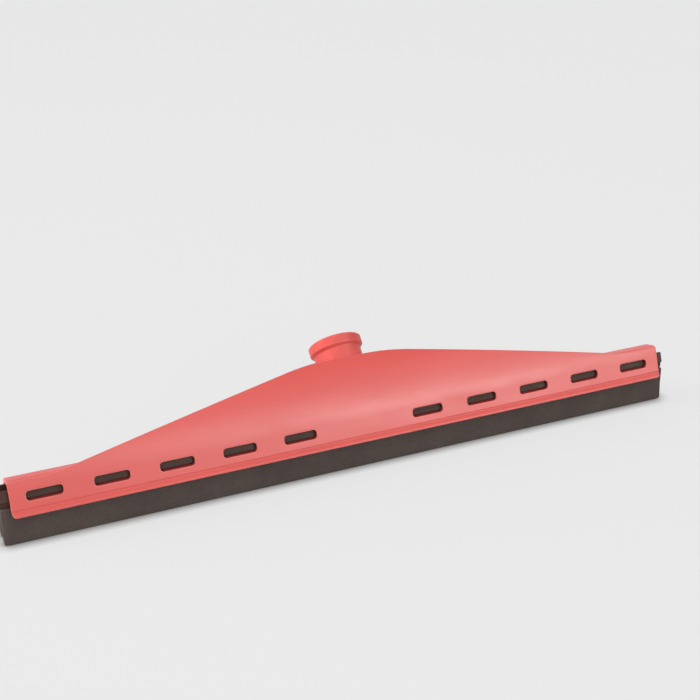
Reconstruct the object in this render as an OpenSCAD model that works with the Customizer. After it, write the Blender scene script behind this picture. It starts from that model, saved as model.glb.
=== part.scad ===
// Floor squeegee head: a moulded frame with an inclined handle socket, and a
// slide-in cassette of two foam blades bonded to a carrier rail.
// +X runs along the blades, +Y points to the handle side, +Z is up from the floor.

/* [Blade cassette] */
// Length of the foam blades and of their carrier rail
blade_len = 500; // [300:10:800]
// Thickness of one foam blade
blade_thick = 6.7; // [5:0.1:8]
// Lean of each foam blade, out towards the floor, in degrees
blade_splay = 3; // [0.5:0.5:4]
// Height of foam that shows below the lips of the frame
blade_drop = 22.2; // [16:0.2:30]
// Height of foam that stands inside the frame
blade_grip = 3.8; // [2.4:0.2:4.8]
// How far the cassette reaches past each end of the frame
blade_overhang = 6; // [2:0.5:12]
// Thickness of the rail's web where it leaves the rail
web_thick = 2; // [1.4:0.2:4]
// Depth of the rail's web below the top of the blades
web_reach = 16; // [8:1:18]
// Wall thickness of the carrier rail
rail_wall = 2.7; // [2:0.1:3.4]

/* [Channel] */
// Height of the channel from its lips to the front edge of its roof
channel_h = 21.2; // [20:0.2:26]
// How far the roof falls from its front edge to its rear edge
roof_fall = 2.8; // [1:0.1:3.2]
// Lean of the channel's walls from the vertical, in degrees
wall_lean = 21; // [15:0.5:24]
// Thickness of the channel's walls
wall_thick = 2.6; // [2.2:0.1:3.2]
// Thickness of the channel's roof
roof_thick = 2.6; // [2:0.1:3]
// Radius of the roof's rear edge
roof_round = 2; // [1:0.25:2.5]
// Height of the upright edge of each lip
lip_edge = 0.4; // [0.2:0.1:0.8]
// How far each lip stands out past the line of its wall
lip_flare = 1.2; // [0.6:0.1:1.6]
// Height of the lips up to their crease
lip_h = 3.2; // [2.6:0.1:4]
// Radius of the lips' lower front edge
lip_round = 1.2; // [0.6:0.1:1.8]
// Height of the upright face between a lip's crease and its wall
crease_h = 0.8; // [0.4:0.1:1.6]
// Radius of the lips' corners at the ends of the frame
lip_corner = 3; // [2:0.5:6]

/* [Windows] */
// Length of a window
window_len = 23.6; // [14:0.2:30]
// Height of a window
window_h = 6.1; // [5.2:0.1:7.4]
// Corner radius of a window
window_corner = 2.3; // [1:0.1:2.5]
// Distance between neighbouring windows, centre to centre
window_pitch = 43.4; // [35:0.2:60]
// Distance between the two middle windows, centre to centre
window_gap = 96.6; // [70:0.2:110]
// Height of the window centres above the lips
window_rise = 11.2; // [10:0.2:12.4]
// Least distance from a window to the end of the frame
window_margin = 8; // [4:1:30]
// How far each retaining ledge stands in from its wall
ledge_reach = 1.4; // [1:0.1:2.6]
// Height of the ledges' upright nose
ledge_nose = 0.8; // [0.4:0.1:1.2]

/* [Sail] */
// Distance from the end of the frame to the foot of the sail
sail_margin = 28; // [16:1:80]
// Height of the sail's crown above the front edge of the roof
sail_rise = 28.6; // [20:0.1:32]
// Half length of the level crown of the sail
crown_half = 30; // [22:1:45]
// Half length of the soft bend at each end of the crown
crown_blend = 16; // [4:1:20]
// Thickness of the sail
sail_thick = 3; // [2.2:0.1:4]
// Radius of the sail's curved front
sail_radius = 70.8; // [64:0.2:90]
// Fall of the sail's upper edge to the rear, in degrees
sail_trim = 41; // [34:0.5:48]
// Half length of the soft bend where the sail runs out into the roof
sail_blend = 14; // [4:1:24]
// Thickness of the ribs behind the sail
rib_thick = 2.4; // [1.6:0.2:4]
// Least distance from the foot of the sail to a rib
rib_end = 50; // [30:1:90]

/* [Handle socket] */
// Lean of the socket's axis from the vertical, in degrees
socket_lean = 45; // [40:0.5:50]
// Bore of the socket
socket_bore = 24; // [20:0.2:26]
// Depth of the bore below the mouth
socket_depth = 42; // [36:0.5:50]
// Wall of the socket's neck
socket_wall = 5; // [3:0.2:5.6]
// Material left under the bore
socket_floor = 7.2; // [5:0.1:9]
// Distance from the channel's rear roof edge to the socket's axis
socket_offset = 4.4; // [4:0.1:7]
// Half width of the flare that runs from the neck into the sail's crown
flare_half = 11; // [8:0.5:13]
// Radius of the flare's front at the sail's crown
flare_radius = 36; // [26:1:60]
// Chamfer around the socket's lower end
socket_foot = 3; // [2:0.1:4]
// Chamfer of the socket's mouth
mouth_chamfer = 1.5; // [0.5:0.1:2]
// How far the collar stands out from the neck
collar_step = 2.2; // [1.2:0.1:4]
// Height of the collar
collar_h = 7.5; // [4:0.5:12]
// Rounding of the collar's edges
collar_round = 1; // [0.4:0.1:1.1]
// Thickness of the webs under the socket
web_rib_thick = 3; // [2:0.2:4]
// Distance of the side webs from the middle one
web_rib_pitch = 11; // [6:0.5:12]

/* [Fits] */
// Clearance between the top of a blade and the channel's wall beside it
blade_clear = 1.9; // [0.6:0.1:2.5]
// Running clearance of the rail in the channel
run_clear = 0.3; // [0.2:0.05:0.6]
// Room between the top of the blades and the ledges above them
ledge_clear = 1.1; // [0.5:0.1:1.6]
// Room between the rail's head and the roof
head_room = 0.6; // [0.4:0.1:3]

/* [Hidden] */

// Overshoot of a cutting solid, and the sink of a joining one
over = 2;
sink = 1;
// Angle between neighbouring points of a drawn arc
arc_step = 2;
// Facets of the round solids
$fn = 96;

function unit(v) = v / norm(v);
function turned(points) = [for (i = [len(points) - 1 : -1 : 0]) points[i]];
function mirrored(points) = [for (p = turned(points)) [-p[0], p[1]]];
function arc(centre, r, from, to) = [
    for (i = [0 : 6]) centre + r * [cos(from + (to - from) * i / 6), sin(from + (to - from) * i / 6)]
];

frame_len = blade_len - 2 * blade_overhang;
frame_half = frame_len / 2;
splay_run = tan(blade_splay);
blade_root = web_thick / 2 + blade_thick / cos(blade_splay);
blade_top = blade_drop + blade_grip;
lip_z = blade_drop;
roof_z = lip_z + channel_h;
roof_back_z = roof_z - roof_fall;
window_z = lip_z + window_rise;
ledge_z = window_z - window_h / 2;
ledge_foot = blade_top + ledge_clear;

// Half widths of the channel inside and outside at a height
function inner_half(z) = blade_root + blade_clear + (blade_top - z) * tan(wall_lean);
function outer_half(z) = inner_half(z) + wall_thick / cos(wall_lean);

roof_edge = [outer_half(roof_back_z), roof_back_z];
lip_half = outer_half(lip_z) + lip_flare;
// Lean of a lip's face, from its rounded edge up to its crease
lip_lean = 52;
lip_rise = lip_h - lip_edge - lip_round * sin(lip_lean);
crease_half = lip_half - lip_round * (1 - cos(lip_lean)) - lip_rise * tan(lip_lean);
crease_z = lip_z + lip_h;
crease_top = crease_z + crease_h;

// The sail bends back from the front wall just above the windows
bend_z = window_z + window_h / 2 + window_corner / 2;
ridge_z = roof_z + sail_rise;
sail_half = frame_half - sail_margin;
sail_centre = [sail_radius * cos(wall_lean) - outer_half(bend_z), bend_z - sail_radius * sin(wall_lean)];

// Point on the sail's section at a lean, set in from the front by a depth
function sail_point(lean, depth) = sail_centre + (sail_radius - depth) * [-cos(lean), sin(lean)];
// Lean at which the sail's section, set in by a depth, passes a height
function lean_at(z, depth) = asin((z - sail_centre[1]) / (sail_radius - depth));

// Small set-in of one face behind another that it runs beside
edge_drop = 0.3;
// The upper edge is trimmed square to this direction; its places are measured along it
trim_dir = [sin(sail_trim), cos(sail_trim)];
foot_w = sail_point(lean_at(roof_z, 0), 0) * trim_dir - edge_drop;
crown_w = sail_point(lean_at(ridge_z, 0), 0) * trim_dir;
ridge_slope = (crown_w - foot_w) / (sail_half - crown_half);
function ridge_w(x) = crown_w - ridge_slope * max(0, abs(x) - crown_half);
// Lean at which the sail's front meets its upper edge
function ridge_lean(x) = sail_trim + asin((ridge_w(x) - sail_centre * trim_dir) / sail_radius);

// The socket's lower end bears on the rear edge of the roof
socket_axis = [sin(socket_lean), cos(socket_lean)];
socket_side = [cos(socket_lean), -sin(socket_lean)];
mouth = roof_edge + (socket_depth + socket_floor) * socket_axis + socket_offset * socket_side;
neck_r = socket_bore / 2 + socket_wall;
collar_r = neck_r + collar_step;
// The neck is sunk past the roof edge into the channel's wall
neck_len = socket_depth + socket_floor + sink;

ledge_tip = inner_half(ledge_z) - ledge_reach;
rail_neck = ledge_tip - run_clear;
head_foot = ledge_z + run_clear;
head_top = roof_back_z - roof_thick - head_room;
rail_groove = rail_neck - rail_wall;
rail_floor = blade_top + rail_wall;
web_foot = blade_top - web_reach;

// Windows and ribs fill the length that the frame and the sail leave for them
window_room = frame_half - window_margin - (window_gap + window_len) / 2;
window_last = floor(window_room / window_pitch);
window_xs = [
    for (side = [-1, 1], i = [0 : window_last])
        side * (window_gap / 2 + i * window_pitch)
];
rib_room = sail_half - rib_end - (window_gap + window_pitch) / 2;
rib_last = floor(rib_room / window_pitch);
rib_xs = [
    for (side = [-1, 1], i = [0 : 1 : rib_last])
        side * ((window_gap + window_pitch) / 2 + i * window_pitch)
];

// The origin is under the middle of the whole part, on the floor
front_y = -lip_half;
collar_top_y = (collar_r - collar_round) * cos(socket_lean);
collar_side_y = collar_r * cos(socket_lean) - collar_round * sin(socket_lean);
back_y = mouth[0] + max(collar_top_y, collar_side_y);
origin_y = (front_y + back_y) / 2;

frame_colour = [0.85, 0.36, 0.34];
rail_colour = [0.16, 0.15, 0.15];
foam_colour = [0.28, 0.24, 0.23];

// Points of a rounded corner between two neighbours
function fillet(before, at, after, r) =
    let (
        a = unit(before - at),
        b = unit(after - at),
        half = acos(a * b) / 2,
        centre = at + unit(a + b) * r / sin(half),
        from = unit(at + a * r / tan(half) - centre),
        to = unit(at + b * r / tan(half) - centre)
    )
    [for (i = [0 : 6]) centre + r * unit(from * (6 - i) + to * i)];

// Draws a section of the YZ plane along X
module along_x(length) {
    rotate([90, 0, 90])
        linear_extrude(height = length, center = true)
            children();
}

// Draws an outline of the XZ plane along Y
module along_y(length) {
    rotate([90, 0, 0])
        linear_extrude(height = length, center = true)
            children();
}

// Sets a turned solid on the socket's axis, with its +Z out of the mouth
module on_socket() {
    translate([0, mouth[0], mouth[1]])
        rotate([-socket_lean, 0, 0])
            children();
}

// Puts the part's origin on the floor under its middle
module placed() {
    translate([0, -origin_y, 0])
        children();
}

// Outer section: lips, leaning walls, roof, and the sail running up from the front wall
module frame_section() {
    lip = concat(
        [[-lip_half, lip_z]],
        arc([lip_round - lip_half, lip_z + lip_edge], lip_round, 180, 180 - lip_lean),
        [[-crease_half, crease_z], [-outer_half(crease_top), crease_top]]
    );
    top_lean = lean_at(ridge_z, sail_thick) + 2 * arc_step;
    front = [for (a = [wall_lean : arc_step : top_lean]) sail_point(a, 0)];
    back = [for (a = [lean_at(roof_z, sail_thick) : arc_step : top_lean]) sail_point(a, sail_thick)];
    rear = mirrored(lip);
    roof = fillet(back[0], roof_edge, rear[0], roof_round);
    polygon(concat(lip, front, turned(back), roof, rear));
}

// Outline of what is trimmed off above the sail's upper edge
module sail_waste() {
    steps = 6;
    run_out = [
        for (i = [steps : -1 : 0])
            let (t = 2 * sail_blend * i / steps)
                [sail_half + sail_blend - t, foot_w + ridge_slope * t * t / (4 * sail_blend)]
    ];
    crown = [
        for (i = [0 : steps])
            let (t = 2 * crown_blend * i / steps)
                [crown_half - crown_blend + t, crown_w - ridge_slope * t * t / (4 * crown_blend)]
    ];
    end_x = frame_half + over;
    right = concat(crown, run_out, [[end_x, foot_w], [end_x, crown_w + ridge_z]]);
    rotate([-sail_trim, 0, 0])
        along_y(4 * ridge_z)
            polygon(concat(right, mirrored(right)));
}

// Everything higher than the roof
module above_roof() {
    translate([-frame_len, -2 * ridge_z, roof_z])
        cube([2 * frame_len, 4 * ridge_z, 2 * ridge_z]);
}

// Outline of what is trimmed off to round a lip's corner
module lip_corner_waste() {
    corner = arc([frame_half - lip_corner, lip_z + lip_corner], lip_corner, -90, 0);
    polygon(concat(
        [[frame_half - lip_corner, lip_z - over]],
        corner,
        [[frame_half + over, lip_z + lip_corner], [frame_half + over, lip_z - over]]
    ));
}

// Space inside the channel
module channel_space() {
    back_z = roof_back_z - roof_thick;
    front_z = roof_z - roof_thick;
    polygon([
        [-inner_half(lip_z - over), lip_z - over],
        [inner_half(lip_z - over), lip_z - over],
        [inner_half(back_z), back_z],
        [-inner_half(front_z), front_z]
    ]);
}

// One window, cut straight through both walls
module window_shape() {
    square([window_len - 2 * window_corner, window_h], center = true);
    square([window_len, window_h - 2 * window_corner], center = true);
    for (x = [-1, 1], z = [-1, 1])
        translate([x * (window_len / 2 - window_corner), z * (window_h / 2 - window_corner)])
            circle(r = window_corner);
}

// Ramped ledge inside the front wall, below a window; the window trims its top
module ledge_section() {
    lap = wall_thick / 2;
    polygon([
        [-ledge_tip, ledge_z + sink],
        [-ledge_tip, ledge_z - ledge_nose],
        [-inner_half(ledge_foot), ledge_foot],
        [-inner_half(ledge_foot) - lap, ledge_foot],
        [-inner_half(ledge_z + sink) - lap, ledge_z + sink]
    ]);
}

// Rib between the back of the sail and the roof
module rib_section(x) {
    middle = sail_thick / 2;
    from = lean_at(bend_z + sail_thick, middle);
    to = ridge_lean(x) - arc_step;
    steps = 6;
    edge = [for (i = [0 : steps]) sail_point(from + (to - from) * i / steps, middle)];
    polygon(concat(edge, [[outer_half(bend_z) - sink, bend_z], [0, bend_z]]));
}

// Web between the socket's lower end and the rear wall
module web_rib_section() {
    reach = socket_offset + neck_r - socket_foot - sink;
    low = roof_edge + reach * socket_side;
    polygon([
        roof_edge - [sink, sink],
        roof_edge + sink * socket_axis + sink * socket_side,
        low + sink * socket_axis,
        low - sink * socket_side,
        [outer_half(crease_top + sink) - sink, crease_top + sink]
    ]);
}

// Flare between the socket's neck and the middle of the sail's crown
module socket_flare() {
    top = collar_h + collar_round + sink;
    low = (mouth[1] + neck_r * sin(socket_lean) - ridge_z) / cos(socket_lean) + sink;
    turn = asin(flare_half / flare_radius);
    front = arc([0, flare_radius + edge_drop - neck_r], flare_radius, -90 - turn, -90 + turn);
    on_socket()
        hull() {
            translate([0, 0, -low])
                linear_extrude(height = sink)
                    polygon(front);
            translate([0, 0, -top])
                cylinder(r = neck_r - edge_drop, h = sink, $fn = 60);
        }
}

// Turned neck and collar of the socket
module socket_outer() {
    rotate_extrude()
        polygon([
            [0, -neck_len],
            [neck_r - socket_foot, -neck_len],
            [neck_r, -neck_len + socket_foot],
            [neck_r, -collar_h - collar_round],
            [collar_r - collar_round, -collar_h],
            [collar_r, -collar_h + collar_round],
            [collar_r, -collar_round],
            [collar_r - collar_round, 0],
            [0, 0]
        ]);
}

// Bore of the socket, with its chamfered mouth
module socket_hole() {
    bore_r = socket_bore / 2;
    rotate_extrude()
        polygon([
            [0, -socket_depth],
            [bore_r, -socket_depth],
            [bore_r, -mouth_chamfer],
            [bore_r + mouth_chamfer + over, over],
            [0, over]
        ]);
}

// Moulded body before its ledges, windows and bore
module frame_body() {
    difference() {
        along_x(frame_len)
            frame_section();
        intersection() {
            above_roof();
            sail_waste();
        }
        for (side = [0, 1])
            mirror([side, 0, 0])
                along_y(4 * lip_half)
                    lip_corner_waste();
    }
    on_socket()
        socket_outer();
    socket_flare();
    for (x = rib_xs)
        translate([x, 0, 0])
            along_x(rib_thick)
                rib_section(x);
    for (i = [-1, 0, 1])
        translate([i * web_rib_pitch, 0, 0])
            along_x(web_rib_thick)
                web_rib_section();
}

module frame() {
    color(frame_colour)
        placed()
            difference() {
                union() {
                    difference() {
                        frame_body();
                        along_x(frame_len + 2 * over)
                            channel_space();
                    }
                    for (x = window_xs, side = [0, 1])
                        translate([x, 0, 0])
                            mirror([0, side, 0])
                                along_x(window_len - 2 * window_corner)
                                    ledge_section();
                }
                for (x = window_xs)
                    translate([x, 0, window_z])
                        along_y(4 * lip_half)
                            window_shape();
                on_socket()
                    socket_hole();
            }
}

module carrier_rail() {
    side_gap = run_clear / cos(wall_lean);
    half = [
        [web_thick / 2 + web_reach * splay_run, web_foot],
        [web_thick / 2, blade_top],
        [rail_neck, blade_top],
        [rail_neck, head_foot],
        [inner_half(head_foot) - side_gap, head_foot],
        [inner_half(head_top) - side_gap, head_top],
        [rail_groove, head_top],
        [rail_groove, rail_floor]
    ];
    color(rail_colour)
        placed()
            along_x(blade_len)
                polygon(concat(half, mirrored(half)));
}

// One foam blade, against the rail's web and shoulder on the +Y side
module blade() {
    spread = blade_top * splay_run;
    along_x(blade_len)
        polygon([
            [web_thick / 2, blade_top],
            [blade_root, blade_top],
            [blade_root + spread, 0],
            [web_thick / 2 + spread, 0]
        ]);
}

module front_blade() {
    color(foam_colour)
        placed()
            mirror([0, 1, 0])
                blade();
}

module rear_blade() {
    color(foam_colour)
        placed()
            blade();
}

frame();
carrier_rail();
front_blade();
rear_blade();
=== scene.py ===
import math

import bmesh
import bpy
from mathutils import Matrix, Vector, noise


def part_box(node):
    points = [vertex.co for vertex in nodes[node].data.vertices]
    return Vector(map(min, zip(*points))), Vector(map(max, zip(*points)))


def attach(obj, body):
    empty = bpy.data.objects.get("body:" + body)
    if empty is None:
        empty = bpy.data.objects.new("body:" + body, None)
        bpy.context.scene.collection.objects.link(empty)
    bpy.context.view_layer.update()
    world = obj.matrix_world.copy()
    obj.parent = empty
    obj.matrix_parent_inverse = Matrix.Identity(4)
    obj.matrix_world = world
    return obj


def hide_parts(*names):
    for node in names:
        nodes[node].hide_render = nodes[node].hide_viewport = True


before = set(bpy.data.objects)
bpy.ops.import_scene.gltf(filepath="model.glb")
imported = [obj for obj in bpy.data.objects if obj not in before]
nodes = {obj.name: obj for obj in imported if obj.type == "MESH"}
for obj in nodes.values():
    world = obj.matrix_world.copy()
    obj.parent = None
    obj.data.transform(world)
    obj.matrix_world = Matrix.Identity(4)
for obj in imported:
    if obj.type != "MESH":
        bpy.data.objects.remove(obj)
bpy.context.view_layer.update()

# Sizes of the foam blades, in metres, as in the part's source
BLADE_LEN = 0.500
BLADE_TOP = 0.026
BLADE_SPLAY = math.tan(math.radians(3.0))

# How a blade is meshed: radius of its edges, points on each corner and side, and sections along it
EDGE_ROUND = 0.0007
CORNER_STEPS = 3
SIDE_STEPS = 8
BLADE_STEPS = 150

# The cut foam's unevenness: its depth, how fine it is each way, the shift of its pattern, where it
# starts above the foot, and how fast it grows from the blade's top down
WAVE_DEPTH = 0.00022
WAVE_ALONG = 22
WAVE_ACROSS = 120
WAVE_UP = 90
WAVE_SHIFT = 7
WAVE_FOOT = 0.0006
WAVE_GROWTH = 2.5

# Edge rounding of the mouldings: steps round an edge, the gap that joins points, and what counts as flat
BEVEL_STEPS = 3
WELD_GAP = 1e-6
FLAT_TURN = math.radians(0.3)

# Where the channel's walls stand at the height of the windows' middle, and how they lean
CHANNEL_Y = -0.0212536
WINDOW_Z = 0.0334
WINDOW_HALF = 0.0095536
WALL_SLOPE = 0.3745

# Screen colours of the materials
CORAL_DEEP = (213, 82, 76)
CORAL_PALE = (220, 89, 83)
# The next three are painted light: shade in hollows, a highlight on edges, and shade inside the windows
CORAL_PAINTED_SHADE = (140, 38, 36)
CORAL_PAINTED_HIGHLIGHT = (245, 150, 142)
WINDOW_PAINTED_SHADE = (92, 32, 29)
RAIL_DEEP = (66, 45, 36)
RAIL_PALE = (78, 55, 46)
RAIL_DUST = (94, 74, 64)
FOAM_DEEP = (78, 68, 64)
FOAM_PALE = (90, 80, 75)
FOAM_PIT = (44, 37, 34)

# The part of a noise's range that holds most of it, and a full range to spread it on
MOST = (0.3, 0.7)
FULL = (0.0, 1.0)

# Floor: its width, its two greys, the share of its own light and shadow that the camera sees, and the
# glow that fills the rest, even except for a painted contact shadow next to the part
FLOOR_WIDTH = 30
FLOOR_DEEP = (0.70, 0.70, 0.70, 1.0)
FLOOR_PALE = (0.72, 0.72, 0.72, 1.0)
FLOOR_SHARE = 0.22
FLOOR_GLOW = 0.845
WHITE = (1, 1, 1, 1)

# Strength of the sky as a light, and as it looks to the camera and in reflections
SKY_LIGHT = 0.20
SKY_SEEN = 0.78

# The camera that was fitted to the photograph
CAMERA_AT = (-0.3389, -0.7584, 0.4668)
CAMERA_DOWN = 25.175
CAMERA_TURN = -24.205
CAMERA_LENS = 67.83
SENSOR_WIDTH = 36.0


def srgb(r, g, b):
    """Linear colour of an 8-bit screen colour."""
    def one(c):
        c /= 255
        return c / 12.92 if c <= 0.04045 else ((c + 0.055) / 1.055) ** 2.4
    return (one(r), one(g), one(b), 1.0)


class Graph:
    """A material's node tree, with short calls to add and join its nodes."""

    def __init__(self, name):
        self.material = bpy.data.materials.new(name)
        self.material.use_nodes = True
        self.tree = self.material.node_tree
        self.tree.nodes.clear()

    def put(self, value, socket):
        """Links a socket's source, or sets its value."""
        if isinstance(value, bpy.types.NodeSocket):
            self.tree.links.new(value, socket)
        else:
            socket.default_value = value

    def add(self, kind, values=None, **settings):
        node = self.tree.nodes.new(kind)
        for key, value in settings.items():
            setattr(node, key, value)
        for key, value in (values or {}).items():
            self.put(value, node.inputs[key])
        return node

    def noise(self, where, scale, detail, rough):
        values = {"Vector": where, "Scale": scale, "Detail": detail, "Roughness": rough}
        return self.add("ShaderNodeTexNoise", values).outputs[0]

    def cells(self, where, scale):
        values = {"Vector": where, "Scale": scale, "Randomness": 1.0}
        return self.add("ShaderNodeTexVoronoi", values).outputs["Distance"]

    def stretched(self, where, scale):
        return self.add("ShaderNodeMapping", {"Vector": where, "Scale": scale}).outputs[0]

    def spread(self, value, source, target):
        """Maps one range of a value onto another, and holds it there."""
        values = {
            "Value": value,
            "From Min": source[0],
            "From Max": source[1],
            "To Min": target[0],
            "To Max": target[1],
        }
        return self.add("ShaderNodeMapRange", values).outputs[0]

    def mix(self, factor, a, b):
        node = self.add("ShaderNodeMix", data_type="RGBA")
        self.put(factor, node.inputs[0])
        self.put(a, node.inputs[6])
        self.put(b, node.inputs[7])
        return node.outputs[2]

    def maths(self, operation, *values):
        return self.add("ShaderNodeMath", dict(enumerate(values)), operation=operation).outputs[0]

    def shut_in(self, reach, samples):
        """One in the open, and less the more is hidden by what stands within a reach."""
        return self.add("ShaderNodeAmbientOcclusion", {"Distance": reach}, samples=samples).outputs["AO"]

    def bump(self, height, strength, distance, normal=None):
        values = {"Height": height, "Strength": strength, "Distance": distance}
        if normal is not None:
            values["Normal"] = normal
        return self.add("ShaderNodeBump", values).outputs[0]

    def place(self):
        return self.add("ShaderNodeTexCoord").outputs["Object"]

    def finish(self, shader):
        self.add("ShaderNodeOutputMaterial", {"Surface": shader.outputs[0]})
        return self.material


def pale_rays(tree):
    """One for the rays that show the background: from the camera, off a mirror or through glass."""
    path = tree.nodes.new("ShaderNodeLightPath").outputs
    seen = path["Is Camera Ray"]
    for other in ("Is Glossy Ray", "Is Transmission Ray"):
        either = tree.nodes.new("ShaderNodeMath")
        either.operation = "MAXIMUM"
        tree.links.new(seen, either.inputs[0])
        tree.links.new(path[other], either.inputs[1])
        seen = either.outputs[0]
    return seen


def window_shade(g, at):
    """High on the cut faces inside the windows, for painted shade there, and zero on the walls' faces.
    """
    part = g.add("ShaderNodeSeparateXYZ", {"Vector": at}).outputs
    across = g.maths("ABSOLUTE", g.maths("SUBTRACT", part["Y"], CHANNEL_Y))
    rise = g.maths("SUBTRACT", part["Z"], WINDOW_Z)
    face = g.maths("ADD", across, g.maths("MULTIPLY", rise, WALL_SLOPE))
    depth = g.maths("SUBTRACT", WINDOW_HALF, face)
    inside = g.spread(depth, (0.0004, 0.0011), (0.0, 0.8))
    beside = g.spread(g.maths("ABSOLUTE", rise), (0.0032, 0.0038), (1.0, 0.0))
    return g.maths("MULTIPLY", inside, beside)


def edge_turn(g, rounded):
    """From zero on a flat face up to part of one beside an edge, where the rounded normal turns away."""
    flat = g.add("ShaderNodeNewGeometry").outputs["Normal"]
    both = g.add("ShaderNodeVectorMath", {0: rounded, 1: flat}, operation="DOT_PRODUCT")
    return g.spread(both.outputs["Value"], (0.86, 0.995), (0.8, 0.0))


def frame_plastic():
    """Coral moulded plastic: flow marks and a fine grain, with painted shade in hollows and inside the
    windows and a painted highlight on edges.
    """
    g = Graph("frame_plastic")
    at = g.place()
    flow = g.noise(g.stretched(at, (6.0, 26.0, 26.0)), scale=1.0, detail=4.0, rough=0.55)
    colour = g.mix(g.spread(flow, MOST, FULL), srgb(*CORAL_DEEP), srgb(*CORAL_PALE))
    # Painted shade: darker in creases and hollows, found by ambient occlusion
    hollow = g.shut_in(reach=0.006, samples=8)
    colour = g.mix(g.spread(hollow, (0.25, 0.6), (0.42, 0.0)), colour, srgb(*CORAL_PAINTED_SHADE))
    # Painted shade on the cut faces inside the windows
    colour = g.mix(window_shade(g, at), colour, srgb(*WINDOW_PAINTED_SHADE))
    rounded = g.add("ShaderNodeBevel", {"Radius": 0.0010}, samples=8).outputs[0]
    # Painted highlight: paler along open edges, where the rounded normal turns away
    painted_edge_highlight = g.maths("MULTIPLY", edge_turn(g, rounded), g.spread(hollow, (0.75, 0.95), FULL))
    colour = g.mix(painted_edge_highlight, colour, srgb(*CORAL_PAINTED_HIGHLIGHT))
    gloss = g.noise(g.stretched(at, (20.0, 60.0, 60.0)), scale=1.0, detail=3.0, rough=0.6)
    grain = g.noise(at, scale=1700.0, detail=2.0, rough=0.6)
    ripple = g.noise(g.stretched(at, (18.0, 50.0, 50.0)), scale=1.0, detail=2.0, rough=0.5)
    fine = g.bump(grain, strength=0.12, distance=0.0002, normal=rounded)
    return g.finish(g.add("ShaderNodeBsdfPrincipled", {
        "Base Color": colour,
        "Roughness": g.spread(gloss, MOST, (0.35, 0.42)),
        "Normal": g.bump(ripple, strength=0.10, distance=0.0010, normal=fine),
        "Specular IOR Level": 0.25,
    }))


def rail_plastic():
    """Brown-black extruded plastic with fine lines along its length and a little dust."""
    g = Graph("rail_plastic")
    at = g.place()
    lines = g.noise(g.stretched(at, (3.0, 900.0, 900.0)), scale=1.0, detail=3.0, rough=0.6)
    dust = g.noise(at, scale=130.0, detail=4.0, rough=0.6)
    colour = g.mix(g.spread(lines, MOST, FULL), srgb(*RAIL_DEEP), srgb(*RAIL_PALE))
    colour = g.mix(g.spread(dust, (0.55, 0.75), (0.0, 0.25)), colour, srgb(*RAIL_DUST))
    return g.finish(g.add("ShaderNodeBsdfPrincipled", {
        "Base Color": colour,
        "Roughness": g.spread(dust, MOST, (0.50, 0.66)),
        "Normal": g.bump(lines, strength=0.15, distance=0.0003),
        "Specular IOR Level": 0.12,
    }))


def foam_rubber():
    """Brown-black cellular rubber: open cells cut through at the faces."""
    g = Graph("foam_rubber")
    at = g.place()
    cells = g.cells(at, scale=1150.0)
    fine = g.cells(at, scale=2600.0)
    patch = g.noise(at, scale=45.0, detail=4.0, rough=0.6)
    colour = g.mix(g.spread(patch, MOST, FULL), srgb(*FOAM_DEEP), srgb(*FOAM_PALE))
    pit = g.spread(cells, (0.05, 0.45), (0.55, 0.0))
    pit = g.maths("MULTIPLY", pit, g.spread(patch, MOST, (0.5, 1.0)))
    colour = g.mix(pit, colour, srgb(*FOAM_PIT))
    coarse = g.bump(cells, strength=0.45, distance=0.0004)
    return g.finish(g.add("ShaderNodeBsdfPrincipled", {
        "Base Color": colour,
        "Roughness": g.spread(patch, MOST, (0.82, 0.95)),
        "Normal": g.bump(fine, strength=0.25, distance=0.0002, normal=coarse),
        "Specular IOR Level": 0.15,
    }))


def studio_floor():
    """Pale grey floor: matte as a surface, and shown lighter to the camera with its shadow kept and a
    painted contact shadow added.
    """
    g = Graph("studio_floor")
    tone = g.noise(g.place(), scale=0.7, detail=2.0, rough=0.5)
    colour = g.mix(g.spread(tone, MOST, FULL), FLOOR_DEEP, FLOOR_PALE)
    matte = g.add("ShaderNodeBsdfDiffuse", {"Color": colour})
    # Painted contact shadow: the glow darkens where the part stands close by
    painted_contact_shadow = g.shut_in(reach=0.0095, samples=16)
    level = g.maths("MULTIPLY", g.spread(painted_contact_shadow, (0.5, 1.0), (0.25, 1.0)), FLOOR_GLOW)
    glow = g.add("ShaderNodeEmission", {"Color": WHITE, "Strength": level})
    shown = g.add("ShaderNodeMixShader", {0: FLOOR_SHARE, 1: glow.outputs[0], 2: matte.outputs[0]})
    seen = pale_rays(g.tree)
    return g.finish(g.add("ShaderNodeMixShader", {0: seen, 1: matte.outputs[0], 2: shown.outputs[0]}))


def soft_edges(obj, width, angle):
    """Rounds the sharp edges of a moulding and shades what is left smooth."""
    weld = obj.modifiers.new("weld", "WELD")
    weld.merge_threshold = WELD_GAP
    flat = obj.modifiers.new("faces", "DECIMATE")
    flat.decimate_type = "DISSOLVE"
    flat.angle_limit = FLAT_TURN
    bevel = obj.modifiers.new("edges", "BEVEL")
    bevel.width = width
    bevel.segments = BEVEL_STEPS
    bevel.limit_method = "ANGLE"
    bevel.angle_limit = math.radians(angle)
    bevel.use_clamp_overlap = True
    bevel.miter_outer = "MITER_ARC"
    shade = obj.modifiers.new("shade", "NODES")
    shade.node_group = smooth_group(angle)
    normals = obj.modifiers.new("normals", "WEIGHTED_NORMAL")
    normals.mode = "FACE_AREA"
    normals.weight = 50
    normals.keep_sharp = True


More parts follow.
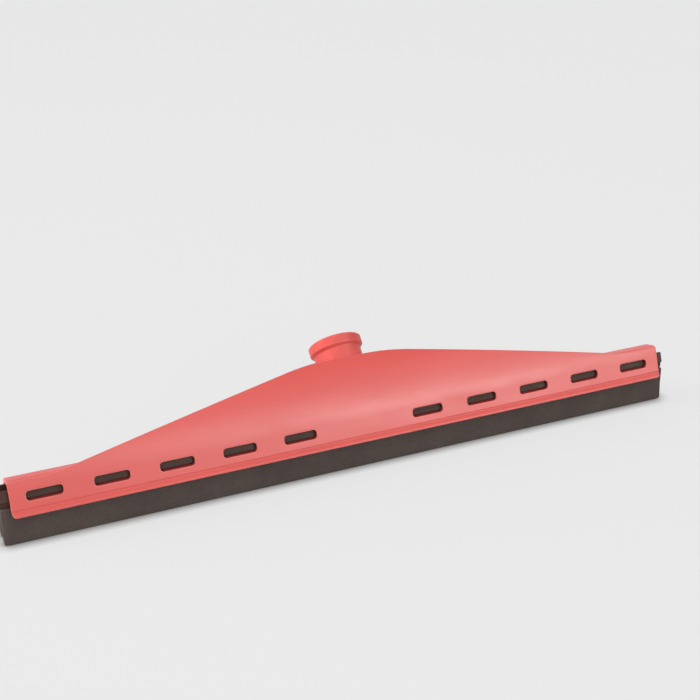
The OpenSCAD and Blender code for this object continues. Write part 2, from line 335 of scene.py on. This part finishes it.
def smooth_group(angle):
    """Geometry nodes that shade smooth across every edge flatter than an angle."""
    group = bpy.data.node_groups.new("smooth_by_angle", "GeometryNodeTree")
    group.interface.new_socket("Geometry", in_out="INPUT", socket_type="NodeSocketGeometry")
    group.interface.new_socket("Geometry", in_out="OUTPUT", socket_type="NodeSocketGeometry")
    start = group.nodes.new("NodeGroupInput")
    end = group.nodes.new("NodeGroupOutput")
    turn = group.nodes.new("GeometryNodeInputMeshEdgeAngle")
    test = group.nodes.new("FunctionNodeCompare")
    test.data_type = "FLOAT"
    test.operation = "LESS_EQUAL"
    test.inputs[1].default_value = math.radians(angle)
    faces = group.nodes.new("GeometryNodeSetShadeSmooth")
    edges = group.nodes.new("GeometryNodeSetShadeSmooth")
    edges.domain = "EDGE"
    link = group.links.new
    link(start.outputs[0], faces.inputs[0])
    link(faces.outputs[0], edges.inputs[0])
    link(turn.outputs[0], test.inputs[0])
    link(test.outputs[0], edges.inputs["Shade Smooth"])
    link(edges.outputs[0], end.inputs[0])
    return group


def uneven(x, at, centre):
    """A point of the blade's section, moved out or in where the cut foam is uneven."""
    wave = noise.noise(Vector((x * WAVE_ALONG, at.x * WAVE_ACROSS + WAVE_SHIFT, at.y * WAVE_UP)))
    free = 1 - at.y / BLADE_TOP
    out = 0.0
    if at.y > WAVE_FOOT:
        out = WAVE_DEPTH * wave * max(0.0, min(1.0, free * WAVE_GROWTH))
    return (x, at.x + (out if at.x > centre.x else -out), at.y)


def foam_blade(name, node):
    """A strip of cut foam with rounded edges, whose faces are slightly uneven above its foot."""
    low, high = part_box(node)
    side = -1 if node.startswith("front") else 1
    spread = BLADE_TOP * BLADE_SPLAY
    thick = (high.y - low.y) - spread
    inner = low.y if side > 0 else high.y
    corners = [
        Vector((inner, BLADE_TOP)),
        Vector((inner + side * thick, BLADE_TOP)),
        Vector((inner + side * (thick + spread), 0.0)),
        Vector((inner + side * spread, 0.0)),
    ]
    ring = section_ring(corners, EDGE_ROUND)
    centre = sum(ring, Vector((0, 0))) / len(ring)
    mesh = bmesh.new()
    rows = []
    for i in range(BLADE_STEPS + 1):
        x = -BLADE_LEN / 2 + BLADE_LEN * i / BLADE_STEPS
        inset = EDGE_ROUND if i in (0, BLADE_STEPS) else 0.0
        section = [p + (centre - p).normalized() * inset for p in ring]
        rows.append([mesh.verts.new(uneven(x, q, centre)) for q in section])
    count = len(ring)
    for a, b in zip(rows, rows[1:]):
        for k in range(count):
            mesh.faces.new((a[k], a[(k + 1) % count], b[(k + 1) % count], b[k]))
    mesh.faces.new(list(reversed(rows[0])))
    mesh.faces.new(rows[-1])
    bmesh.ops.recalc_face_normals(mesh, faces=mesh.faces[:])
    data = bpy.data.meshes.new(name)
    mesh.to_mesh(data)
    mesh.free()
    for face in data.polygons:
        face.use_smooth = len(face.vertices) == 4
    piece = bpy.data.objects.new(name, data)
    bpy.context.collection.objects.link(piece)
    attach(piece, "cassette")
    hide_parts(node)
    return piece


def section_ring(corners, r):
    """Points round a four-sided section with rounded corners."""
    points = []
    count = len(corners)
    for i, at in enumerate(corners):
        before, after = corners[i - 1], corners[(i + 1) % count]
        a, b = (before - at).normalized(), (after - at).normalized()
        half = a.angle(b) / 2
        centre = at + (a + b).normalized() * (r / math.sin(half))
        first, last = at + a * (r / math.tan(half)), at + b * (r / math.tan(half))
        for k in range(CORNER_STEPS + 1):
            t = k / CORNER_STEPS
            toward = (first - centre) * (1 - t) + (last - centre) * t
            points.append(centre + toward.normalized() * r)
        next_a = (at - after).normalized()
        next_b = (corners[(i + 2) % count] - after).normalized()
        next_half = next_a.angle(next_b) / 2
        end = after + next_a * (r / math.tan(next_half))
        for k in range(1, SIDE_STEPS):
            points.append(last.lerp(end, k / SIDE_STEPS))
    return points


def hang(name, data, at):
    """A lamp at a place, faced to the part."""
    lamp = bpy.data.objects.new(name, data)
    lamp.location = Vector(at)
    lamp.rotation_euler = (-Vector(at)).to_track_quat("-Z", "Y").to_euler()
    bpy.context.collection.objects.link(lamp)
    return lamp


def distant_light(name, toward, strength, degrees, diffuse=True, glossy=True):
    """A soft, even light from a direction, which can be left out of diffuse or of mirrored light."""
    data = bpy.data.lights.new(name, "SUN")
    data.energy = strength
    data.angle = math.radians(degrees)
    lamp = hang(name, data, toward)
    lamp.visible_diffuse = diffuse
    lamp.visible_glossy = glossy


def soft_box(name, at, width, power):
    """A broad round lamp that hangs over the part and faces it."""
    data = bpy.data.lights.new(name, "AREA")
    data.shape = "DISK"
    data.size = width
    data.energy = power
    hang(name, data, at)


# Materials and edges of the pieces that keep their solids
for node, make, width, angle in (
    ("frame", frame_plastic, 0.0006, 24),
    ("carrier_rail", rail_plastic, 0.0003, 30),
):
    obj = nodes[node]
    obj.data.materials.clear()
    obj.data.materials.append(make())
    soft_edges(obj, width, angle)

foam = foam_rubber()
for node in ("front_blade", "rear_blade"):
    piece = foam_blade("foam_" + node, node)
    piece.data.materials.append(foam)

# Floor and sky
bpy.ops.mesh.primitive_plane_add(size=FLOOR_WIDTH, location=(0, 0, 0))
floor = bpy.context.object
floor.name = "floor"
floor.data.materials.append(studio_floor())

world = bpy.data.worlds.new("studio")
bpy.context.scene.world = world
world.use_nodes = True
sky = world.node_tree.nodes["Background"]
sky.inputs["Color"].default_value = WHITE
level = world.node_tree.nodes.new("ShaderNodeMapRange")
level.inputs["To Min"].default_value = SKY_LIGHT
level.inputs["To Max"].default_value = SKY_SEEN
world.node_tree.links.new(pale_rays(world.node_tree), level.inputs["Value"])
world.node_tree.links.new(level.outputs[0], sky.inputs["Strength"])

# Three lights from the front right show only in reflections, as the sheen on the sail
distant_light("sheen_low", toward=(0.44, -0.84, 0.27), strength=2.0, degrees=7, diffuse=False)
distant_light("sheen_high", toward=(0.36, -0.78, 0.50), strength=1.05, degrees=18, diffuse=False)
distant_light("sheen_top", toward=(0.52, -0.50, 0.69), strength=0.60, degrees=26, diffuse=False)

# The key lights the front, the two left lights mostly the socket's left side, and the rest fill in
distant_light("key", toward=(-0.12, -0.72, 0.65), strength=1.78, degrees=90, glossy=False)
distant_light("left", toward=(-1.0, 0.30, 0.20), strength=2.10, degrees=46, glossy=False)
distant_light("left_glint", toward=(-1.0, 0.30, 0.20), strength=0.70, degrees=46)
distant_light("back", toward=(0.20, 0.90, 0.40), strength=0.45, degrees=70)
soft_box("top", at=(-0.48, 0.02, 1.40), width=1.9, power=7.5)

camera_data = bpy.data.cameras.new("camera")
camera_data.sensor_width = SENSOR_WIDTH
camera_data.lens = CAMERA_LENS
camera = bpy.data.objects.new("camera", camera_data)
camera.location = CAMERA_AT
camera.rotation_euler = (math.radians(90 - CAMERA_DOWN), 0.0, math.radians(CAMERA_TURN))
bpy.context.collection.objects.link(camera)
bpy.context.scene.camera = camera
bpy.context.scene.view_settings.view_transform = "Standard"
